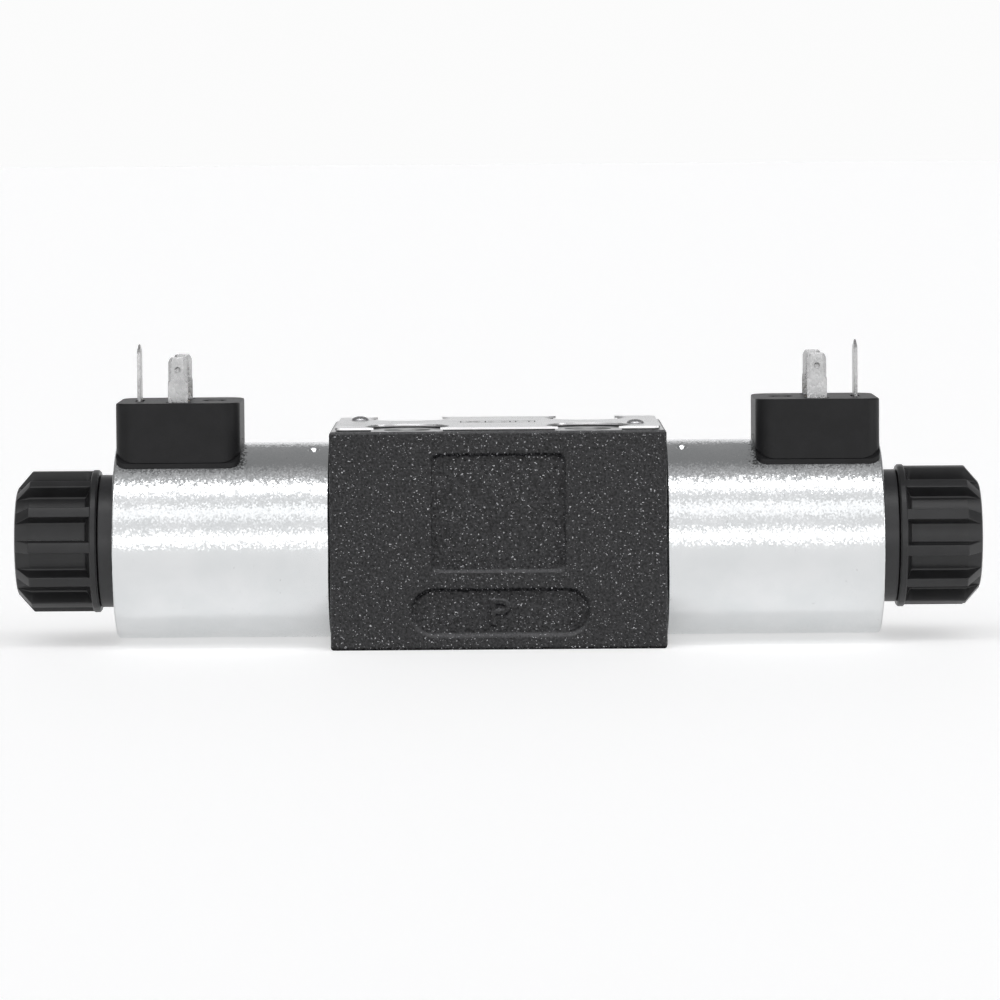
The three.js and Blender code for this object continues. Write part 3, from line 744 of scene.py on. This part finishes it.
def valve_symbol():
    """The usual drawing of a three-position spool valve: three squares, arrows and shut ports."""
    size, step_in, splay = SYMBOL["square"], SYMBOL["port"], SYMBOL["splay"]
    low, high = PLATE_HIGH.z - INK_SUNK, PLATE_HIGH.z + INK_RAISED
    strokes = []
    for box in (-1, 0, 1):
        left, right = (box - 0.5) * size, (box + 0.5) * size
        edges = [(left, -size / 2), (right, -size / 2), (right, size / 2), (left, size / 2)]
        strokes += list(zip(edges, edges[1:] + edges[:1]))
        middle = box * size
        feet = [(middle - step_in, -size / 2), (middle + step_in, -size / 2)]
        heads = [(middle - step_in, size / 2), (middle + step_in, size / 2)]
        if box == 0:
            for x, y in feet + heads:
                bar = y * SYMBOL["shut"]
                strokes.append(((x, y), (x, bar)))
                strokes.append(((x - SYMBOL["cap"], bar), (x + SYMBOL["cap"], bar)))
            continue
        ends = heads if box > 0 else heads[::-1]
        for foot, head in zip(feet, ends):
            strokes.append((foot, head))
            back = (Vector(foot) - Vector(head)).normalized()
            for turn in (-splay, splay):
                barb = Matrix.Rotation(turn, 2) @ back
                strokes.append((head, Vector(head) + barb * SYMBOL["barb"]))
    bm = bmesh.new()
    for start, end in strokes:
        stroke(bm, start, end, SYMBOL["line"], low, high)
    obj = to_object(bm, "plate_symbol")
    obj.data.materials.append(LOOKS["ink"])
    return finished(obj, "valve", "rubber")


def rivets():
    """Round-headed rivets that hold the nameplate."""
    for node in RIVET_NODES:
        low, high = corners_of(node)
        middle = (low + high) / 2
        seat = PLATE_HIGH.z + 0.02
        rise = high.z - seat
        head = (high.x - low.x) / 2
        shank = RIVET["shank"]
        line = [(low.z, 0), (low.z, RIVET["tip"]), (low.z + 0.3, shank), (seat, shank)]
        line.append((seat, head * 0.97))
        for k in range(1, 8):
            angle = QUARTER * k / 8
            line.append((seat + rise * math.sin(angle), head * math.cos(angle)))
        bm = standing(turned(line + [(high.z, 0)], 48), middle.x, middle.y)
        finished(to_object(bm, node + "_dome"), "valve", "steel", stands_for=node)


def port_seals():
    """O-rings in the seats of the four ports."""
    for port, (x, y) in PORTS.items():
        low, high = corners_of("port_seal_" + port)
        outer = (high.x - low.x) / 2
        inner = outer - 1.7
        profile = ring_profile(low.z, high.z, inner, outer, 0.55, 6)
        bm = standing(turned(profile, 64), x, y)
        node = "port_seal_" + port
        finished(to_object(bm, node + "_ring"), "valve", "rubber", stands_for=node)


# -------------------- one solenoid


def dimple(x, radius, angle):
    """Staking pits of the can: one on the front and one on the back, near the body."""
    if radius < COIL_RADIUS - 0.01:
        return 0.0
    deepest = 0.0
    for place in (DIMPLE["angle"], math.pi - DIMPLE["angle"]):
        around = (angle - place) * COIL_RADIUS
        away = math.hypot(around, x - DIMPLE["x"]) / DIMPLE["radius"]
        deepest = max(deepest, DIMPLE["depth"] * (1 - step(away)))
    return -deepest


def coil_housing(side):
    """The zinc-plated can, with a seam round its end face and a window under the connector base."""
    bore = COIL_HIGH.x - CAN["end_plate"]
    inner = COIL_RADIUS - CAN["wall"]
    bore_radius = CAN["bore"]
    seam = COIL_RADIUS - CAN["seam"]
    corners = [
        (COIL_LOW.x, inner, 0.1),
        (COIL_LOW.x, COIL_RADIUS, 0.35),
        (COIL_HIGH.x, COIL_RADIUS, 0.6),
        (COIL_HIGH.x, seam + 0.25, 0.08),
        (COIL_HIGH.x - 0.3, seam, 0),
        (COIL_HIGH.x, seam - 0.25, 0.08),
        (COIL_HIGH.x, bore_radius, 0.3),
        (bore, bore_radius, 0.1),
        (bore, inner, 0.3),
    ]
    profile = filleted(corners, 4)
    where = next(i for i, p in enumerate(profile) if p[0] > DIMPLE["x"])
    reach = DIMPLE["radius"] + 0.1
    fine = spaced(DIMPLE["x"] - reach, DIMPLE["x"] + reach, 0.15)
    profile[where:where] = [Vector((x, COIL_RADIUS)) for x in fine]
    angles = []
    for start in (DIMPLE["angle"], math.pi - DIMPLE["angle"]):
        angles += spaced(start - DIMPLE["spread"], start + DIMPLE["spread"], DIMPLE["step"])
    turn = 2 * math.pi / CAN["sides"]
    coarse = [k * turn for k in range(CAN["sides"])]
    angles += [a for a in coarse if min(abs(a - b) for b in angles) > turn / 2]
    obj = to_object(turned(profile, shift=dimple, angles=sorted(angles)), "can_" + side)
    half = CAN["window"]
    low, high = (BASE_CENTRE - half, -half, inner - 1), (BASE_CENTRE + half, half, COIL_RADIUS + 1)
    combined(obj, [box_shape(low, high)])
    return finished(obj, "coil_" + side, "zinc_plate", side, "coil_housing_" + side)


def saddle(radius):
    return turned([(20, 0), (20, radius), (120, radius), (120, 0)], 192)


def connector_base(side):
    """The plug base: block with contact recesses, insert hole and blind ring, on a saddled foot."""
    half = (BASE_HIGH.x - BASE_LOW.x) / 2
    skirt, gap = BASE["skirt"], RECESS["gap"]
    block = prism(rounded_square(half, half, BASE["corner"]), 10, BASE_TOP, BASE["edge"])
    obj = to_object(moved(block, BASE_CENTRE), "plug_base_" + side)
    cutters = [saddle(COIL_RADIUS + 0.1 + skirt)]
    recess = BASE_TOP - RECESS["depth"]
    for x, y, half_x, half_y in CONTACTS:
        low = (BASE_CENTRE + x - half_x - gap, y - half_y - gap, recess)
        high = (BASE_CENTRE + x + half_x + gap, y + half_y + gap, BASE_TOP + 1)
        cutters.append(box_shape(low, high))
    insert_hole = rod_profile(BASE_TOP - INSERT_HOLE["depth"], BASE_TOP + 1, INSERT_HOLE["radius"])
    cutters.append(standing(turned(insert_hole, 48), BASE_CENTRE, 0))
    ring_low = BASE_TOP - BLIND_RING["depth"]
    ring = ring_profile(ring_low, BASE_TOP + 1, BLIND_RING["inner"], BLIND_RING["outer"])
    cutters.append(standing(turned(ring, 48), BASE_CENTRE + BLIND_RECESS, 0))
    combined(obj, cutters)
    softened(obj, 0.1, angle=60)
    finished(obj, "coil_" + side, "black_nylon", side, "connector_base_" + side)
    foot = prism(rounded_square(half, half, BASE["foot_corner"]), 10, BASE_TOP - 2)
    foot = to_object(moved(foot, BASE_CENTRE), "plug_foot_" + side)
    combined(foot, [saddle(COIL_RADIUS + skirt)], "INTERSECT")
    combined(foot, [saddle(COIL_RADIUS + 0.05)])
    finished(foot, "coil_" + side, "black_nylon", side)


def lofted(sections, ring=False):
    """bmesh through sections of equal length, with flat ends or, as a ring, closed on itself."""
    bm = bmesh.new()
    rings = [[bm.verts.new(p) for p in section] for section in sections]
    if ring:
        rings.append(rings[0])
    for low, high in zip(rings, rings[1:]):
        bridge(bm, low, high)
    if not ring:
        bm.faces.new(rings[0])
        bm.faces.new(rings[-1])
    return bm


def blade_section(half_width, flat_half, half_thick, z, edge_thick):
    """A blade's section at height z: flat_half of each wide face is full, the rest is bevelled."""
    quarter = [(half_width, edge_thick), (flat_half, half_thick)]
    points = quarter + [(-x, y) for x, y in reversed(quarter)]
    points += [(-x, -y) for x, y in quarter] + [(x, -y) for x, y in reversed(quarter)]
    return [(x, y, z) for x, y in points]


def contact_pin(side, number, y):
    """A contact pin whose upper part has a narrow face between bevelled edges."""
    node = f"terminal_{number}_{side}"
    low, high = corners_of(node)
    foot, top = low.z - AXIS_Z, high.z - AXIS_Z
    half = PIN_HALF_WIDTH
    thick = 0.42
    fold = top - 5.6
    sections = [
        blade_section(half, half - 0.06, thick, foot, thick - 0.06),
        blade_section(half, half - 0.06, thick, fold - 0.45, thick - 0.06),
        blade_section(half - 0.12, 1.5, thick, fold + 0.35, 0.16),
        blade_section(half - 0.14, 1.38, thick, top - 1.1, 0.14),
        blade_section(half - 0.55, 1.15, thick - 0.06, top - 0.25, 0.12),
        blade_section(half - 0.85, 1.0, thick - 0.2, top, 0.1),
    ]
    obj = to_object(moved(lofted(sections), BASE_CENTRE, y), "pin_" + node)
    for sign in (-1, 1):
        ball = bmesh.new()
        bmesh.ops.create_uvsphere(ball, u_segments=32, v_segments=16, radius=PIT["radius"])
        away = sign * (thick + PIT["off"])
        combined(obj, [moved(ball, BASE_CENTRE, y + away, BASE_TOP + PIT["height"])])
    return finished(obj, "coil_" + side, "tinned", side, node, sharp=20)


def earth_blade(side):
    """The flat earth blade, seen edge on from the front, with a bevelled point."""
    node = "earth_terminal_" + side
    low, high = corners_of(node)
    foot, top = low.z - AXIS_Z, high.z - AXIS_Z
    half, thick = EARTH_HALF_WIDTH, BLADE_HALF
    tip = 2.2
    sections = [
        blade_section(half, half - 0.08, thick, foot, thick - 0.05),
        blade_section(half, half - 0.08, thick, top - tip, thick - 0.05),
        blade_section(half - 0.55, half - 0.75, thick, top - 1.5, thick - 0.1),
        blade_section(half - tip + 0.1, half - tip - 0.2, thick * 0.55, top - 0.15, thick * 0.4),
        blade_section(half - tip - 0.1, half - tip - 0.3, thick * 0.3, top, thick * 0.2),
    ]
    bm = lofted(sections)
    bmesh.ops.rotate(bm, verts=bm.verts, cent=(0, 0, 0), matrix=Matrix.Rotation(QUARTER, 3, "Z"))
    obj = to_object(moved(bm, BASE_CENTRE + EARTH_OFFSET), "blade_" + node)
    return finished(obj, "coil_" + side, "tinned", side, node, sharp=20)


def connector_insert(side):
    node = "connector_insert_" + side
    profile = ring_profile(BASE_TOP - 6, BASE_TOP - 0.05, 1.25, 2.3, 0.15)
    bm = standing(turned(profile, 48), BASE_CENTRE, 0)
    return finished(to_object(bm, "brass_" + node), "coil_" + side, "brass", side, node)


def neck_ring(side):
    """The seal ring between the coil and the nut."""
    profile = ring_profile(NECK_LOW.x, NECK_HIGH.x, 11.3, NECK_RADIUS, 0.3)
    obj = to_object(turned(profile, 128), "neck_ring_" + side)
    return finished(obj, "nut_travel_" + side, "rubber", side, "nut_seal_" + side)


def at(line, x):
    """Height at x of a line of points that runs along x."""
    for (x0, y0), (x1, y1) in zip(line, line[1:]):
        if x0 <= x <= x1 and x1 > x0:
            return y0 + (y1 - y0) * (x - x0) / (x1 - x0)
    return line[0][1] if x < line[0][0] else line[-1][1]


def flute_points(rib, floor):
    """One flute of the nut's outline as (angle, radius), from the flute's middle to the rib's."""
    spread = (TOP_HALF - FLOOR_HALF) / (RIB_RADIUS - FLOOR_RADIUS)

    def half_width(radius):
        return FLOOR_HALF + (radius - FLOOR_RADIUS) * spread

    rib_middle = math.pi / FLUTES * rib
    corners = [
        (0, floor, 0),
        (half_width(floor), floor, 0.55),
        (half_width(rib), rib, 0.28),
        (rib_middle, rib, 0),
    ]
    line = filleted(corners, 5, closed=False)
    first = [line[0].lerp(line[1], k / 4) for k in range(4)]
    last = [line[-2].lerp(line[-1], k / 3) for k in range(1, 4)]
    return [(p[0] / p[1], p[1]) for p in first + line[1:-1] + last]


def nut_section(x, rib, floor, turn):
    """The nut's outline across its axis at x."""
    half = flute_points(rib, min(floor, rib - 1e-4))
    points = []
    for flute in range(FLUTES):
        middle = turn + 2 * math.pi * (flute + 0.5) / FLUTES
        offsets = [(-a, r) for a, r in reversed(half[1:])] + half[:-1]
        points += [(middle + a, r) for a, r in offsets]
    return [(x, -r * math.sin(a), r * math.cos(a)) for a, r in points]


def coil_nut(side):
    """Fluted plastic nut: plain collar, twelve ribs, bevelled end and a hole for the override pin."""
    start, end = NUT_LOW.x, NUT_HIGH.x
    rib_line = filleted(
        [
            (start, COLLAR_RADIUS - 0.35, 0),
            (start + 0.35, COLLAR_RADIUS, 0.2),
            (COLLAR_END - 0.2, COLLAR_RADIUS, 0.15),
            (COLLAR_END, RIB_RADIUS, 0.1),
            (RIB_END, RIB_RADIUS, 0.5),
            (end - 0.25, NUT_END_RADIUS + 0.25, 0.3),
            (end, NUT_END_RADIUS - 0.35, 0),
        ],
        4,
        closed=False,
    )
    floor_line = filleted(
        [
            (start, 20, 0),
            (COLLAR_END + 0.01, 20, 0),
            (COLLAR_END + 0.02, RIB_RADIUS, 0),
            (COLLAR_END + FLUTE_SLOPE, FLOOR_RADIUS, 0.6),
            (end, FLOOR_RADIUS, 0),
        ],
        5,
        closed=False,
    )
    stations = sorted({round(p[0], 4) for p in rib_line + floor_line})
    turn = NUT_TURN[side]
    sections = [nut_section(x, at(rib_line, x), at(floor_line, x), turn) for x in stations]
    end_wall = TUBE_HIGH.x + 0.7
    bore = THREAD_RADIUS + 0.3
    rim = bore + 1.0
    inside = [(end, PIN_HOLE + 0.4), (end - 0.4, PIN_HOLE), (end_wall, PIN_HOLE), (end_wall, bore)]
    inside += [(start + 1.0, bore), (start, rim)]
    outer_edge = sections[-1]
    for x, radius in inside:
        sections.append([(x, *(Vector(point[1:]).normalized() * radius)) for point in outer_edge])
    obj = to_object(lofted(sections, ring=True), "fluted_nut_" + side)
    return finished(obj, "nut_" + side, "nut_plastic", side, "coil_nut_" + side, sharp=38)


def thread(x, radius, angle):
    """Depth of the helical thread on the tube's end."""
    if not TUBE_HIGH.x - 14.5 < x < TUBE_HIGH.x - 0.6 or radius < THREAD_RADIUS - 0.01:
        return 0.0
    if radius > THREAD_RADIUS + 0.01:
        return 0.0
    phase = (x / THREAD_PITCH - angle / (2 * math.pi)) % 1.0
    return -0.75 * (1 - abs(2 * phase - 1))


def armature_tube(side):
    """Pole piece, tube and threaded end plug."""
    radius = (TUBE_HIGH.z - TUBE_LOW.z) / 2
    low, high = TUBE_LOW.x, TUBE_HIGH.x
    groove_low, groove_high, groove_floor = TUBE["seal_groove"]
    pin_low, pin_high, pin_floor = TUBE["pin_groove"]
    shoulder, face, pin = TUBE["shoulder"], TUBE["plug_face"], TUBE["pin_hole"]
    collar_end, collar = TUBE["collar_end"], TUBE["collar"]
    line = [
        (low, TUBE["spring"]),
        (low, radius - 0.4),
        (low + 0.4, radius),
        (groove_low, radius),
        (groove_low, groove_floor),
        (groove_high, groove_floor),
        (groove_high, radius),
        (shoulder, radius),
        (shoulder, TUBE["outside"]),
        (face, TUBE["outside"]),
        (face, THREAD_RADIUS),
    ]
    line += [(x, THREAD_RADIUS) for x in spaced(face + 0.2, high - 0.4, 0.15)]
    line += [
        (high, THREAD_RADIUS - 0.4),
        (high, pin),
        (pin_high, pin),
        (pin_high, pin_floor),
        (pin_low, pin_floor),
        (pin_low, pin),
        (collar_end, pin),
        (collar_end, collar),
        (face, collar),
        (face, TUBE["bore"]),
        (TUBE["pole_face"], TUBE["bore"]),
        (TUBE["pole_face"], TUBE["push_pin"]),
        (TUBE["spring_seat"], TUBE["push_pin"]),
        (TUBE["spring_seat"], TUBE["spring"]),
    ]
    obj = to_object(turned(line, 96, shift=thread), "tube_" + side)
    return finished(obj, "valve", "steel", side, "armature_tube_" + side)


def override_pin(side):
    """The pin pressed by hand through the hole in the nut's end, with a collar that keeps it in."""
    low, high = PIN_LOW.x, PIN_HIGH.x
    radius, collar = BUTTON["radius"], BUTTON["collar"]
    shoulder = low + BUTTON["collar_length"]
    line = [(low, 0, 0), (low, collar, 0.2), (shoulder, collar, 0.2), (shoulder, radius, 0.1)]
    line += [(high - 0.25, radius, 0.5), (high, radius * 0.6, 0.6), (high, 0, 0)]
    obj = to_object(turned(filleted(line, 4, closed=False), 64), "button_" + side)
    return finished(obj, "override_" + side, "steel", side, "override_pin_" + side)


def solenoid(side):
    coil_housing(side)
    connector_base(side)
    contact_pin(side, 1, -PIN_OFFSET)
    contact_pin(side, 2, PIN_OFFSET)
    earth_blade(side)
    connector_insert(side)
    neck_ring(side)
    coil_nut(side)
    armature_tube(side)
    override_pin(side)


def plain_nodes():
    """Gives the CAD nodes that stay as they are a material of their own slot."""
    slots = {row["node"]: row["material_slot"] for row in frame["record"]["subparts"]}
    for node, obj in frame["nodes"].items():
        obj.data.materials.clear()
        obj.data.materials.append(LOOKS[slots[node]])


# -------------------- stage, light and camera


# Area light: metres, degrees up from the valve's axis, and radiance.
SIDE_BOX = {"x": 1.1, "distance": 0.3, "elevation": 20, "height": 0.5, "width": 0.30, "radiance": 3.0}
FLOOR = {"half": 30, "albedo": 0.72, "glow": 0.405}


def pale_floor():
    """A wide matt floor under the valve that is lit and glows a little."""
    material = bpy.data.materials.new("pale_floor")
    material.use_nodes = True
    shader = material.node_tree.nodes["Principled BSDF"]
    shader.inputs["Base Color"].default_value = (FLOOR["albedo"],) * 3 + (1,)
    shader.inputs["Roughness"].default_value = 0.7
    shader.inputs["Emission Color"].default_value = (1, 1, 1, 1)
    shader.inputs["Emission Strength"].default_value = FLOOR["glow"]
    mesh = bpy.data.meshes.new("floor")
    half = FLOOR["half"]
    corners = [(-half, -half, 0), (half, -half, 0), (half, half, 0), (-half, half, 0)]
    mesh.from_pydata(corners, [], [(0, 1, 2, 3)])
    mesh.materials.append(material)
    obj = bpy.data.objects.new("floor", mesh)
    bpy.context.scene.collection.objects.link(obj)


def side_box():
    """A soft box light to the right of the valve, aimed at the middle of its axis."""
    width, height, distance = SIDE_BOX["width"], SIDE_BOX["height"], SIDE_BOX["distance"]
    light = bpy.data.lights.new("side_box", "AREA")
    light.shape = "RECTANGLE"
    light.size = width
    light.size_y = height
    light.energy = math.pi * width * height * SIDE_BOX["radiance"]
    obj = bpy.data.objects.new("side_box", light)
    rise = math.radians(SIDE_BOX["elevation"])
    aim = Vector((0, 0, AXIS_Z * MM))
    away = Vector((SIDE_BOX["x"], -distance * math.cos(rise), distance * math.sin(rise)))
    obj.location = aim + away
    obj.rotation_euler = (-away).to_track_quat("-Z", "Y").to_euler()
    bpy.context.scene.collection.objects.link(obj)


# Studio brightness around the solenoid axis: (degrees up from the front horizon, radiance).
STUDIO = [
    (-90, 0.9),
    (-1, 0.9),
    (0, 2.4),
    (8, 2.2),
    (13, 1.05),
    (25, 0.9),
    (33, 1.4),
    (42, 1.5),
    (48, 0.85),
    (57, 1.0),
    (65, 1.5),
    (67, 6.0),
    (70, 6.0),
    (72, 1.1),
    (81, 0.55),
    (91, 0.42),
    (102, 0.26),
    (150, 0.32),
    (164, 0.95),
    (180, 0.95),
]
BACKDROP = 0.97
COOL = 1.01
# The walls darken as |X| of the direction goes from the first to the second value.
SIDE_WALLS = (0.55, 0.85, 1.0, 0.4)


def studio_world():
    """Soft studio walls: bands of light that run along the valve, plain white to the camera."""
    world = bpy.data.worlds.new("studio")
    bpy.context.scene.world = world
    world.use_nodes = True
    tree = world.node_tree
    nodes, links = tree.nodes, tree.links
    axes = nodes.new("ShaderNodeSeparateXYZ")
    links.new(nodes.new("ShaderNodeTexCoord").outputs["Generated"], axes.inputs["Vector"])
    front = maths(tree, "ShaderNodeMath", "MULTIPLY", axes.outputs["Y"], -1)
    angle = maths(tree, "ShaderNodeMath", "ARCTAN2", axes.outputs["Z"], front)
    place = nodes.new("ShaderNodeMapRange")
    set_range(place, (-QUARTER, math.pi, 0, 1))
    links.new(angle, place.inputs["Value"])
    ramp = nodes.new("ShaderNodeValToRGB")
    elements = ramp.color_ramp.elements
    elements[0].position = 0
    elements[1].position = 1
    for degrees, _ in STUDIO[1:-1]:
        elements.new((degrees + 90) / 270)
    for element, (degrees, radiance) in zip(elements, STUDIO):
        element.color = (radiance, radiance, radiance * COOL, 1)
    links.new(place.outputs["Result"], ramp.inputs["Fac"])
    aside = maths(tree, "ShaderNodeMath", "ABSOLUTE", axes.outputs["X"])
    dim = nodes.new("ShaderNodeMapRange")
    set_range(dim, SIDE_WALLS)
    links.new(aside, dim.inputs["Value"])
    bands = nodes.new("ShaderNodeVectorMath")
    bands.operation = "SCALE"
    links.new(ramp.outputs["Color"], bands.inputs["Vector"])
    links.new(dim.outputs["Result"], bands.inputs["Scale"])
    mix = nodes.new("ShaderNodeMix")
    mix.data_type = "RGBA"
    mix.inputs["B"].default_value = (BACKDROP, BACKDROP, BACKDROP, 1)
    links.new(nodes.new("ShaderNodeLightPath").outputs["Is Camera Ray"], mix.inputs["Factor"])
    links.new(bands.outputs["Vector"], mix.inputs["A"])
    links.new(mix.outputs["Result"], nodes["Background"].inputs["Color"])


# Metres, degrees and a lens in millimetres.
CAMERA = {
    "distance": 1.15,
    "height": 0.1124,
    "pitch": 4.0,
    "side": 0.0004,
    "roll": -0.42,
    "lens": 182.4,
}


def camera():
    data = bpy.data.cameras.new("camera")
    data.lens = CAMERA["lens"]
    data.sensor_width = 36.0
    data.clip_end = 100
    obj = bpy.data.objects.new("camera", data)
    obj.location = (CAMERA["side"], -CAMERA["distance"], CAMERA["height"])
    tilt = Matrix.Rotation(math.radians(90 - CAMERA["pitch"]), 3, "X")
    roll = Matrix.Rotation(math.radians(CAMERA["roll"]), 3, "Z")
    obj.rotation_euler = (tilt @ roll).to_euler()
    bpy.context.scene.collection.objects.link(obj)
    bpy.context.scene.camera = obj
    bpy.context.scene.view_settings.view_transform = "Standard"


camera()
plain_nodes()
valve_body()
nameplate()
valve_symbol()
rivets()
port_seals()
for side in SIDES:
    solenoid(side)
studio_world()
side_box()
pale_floor()
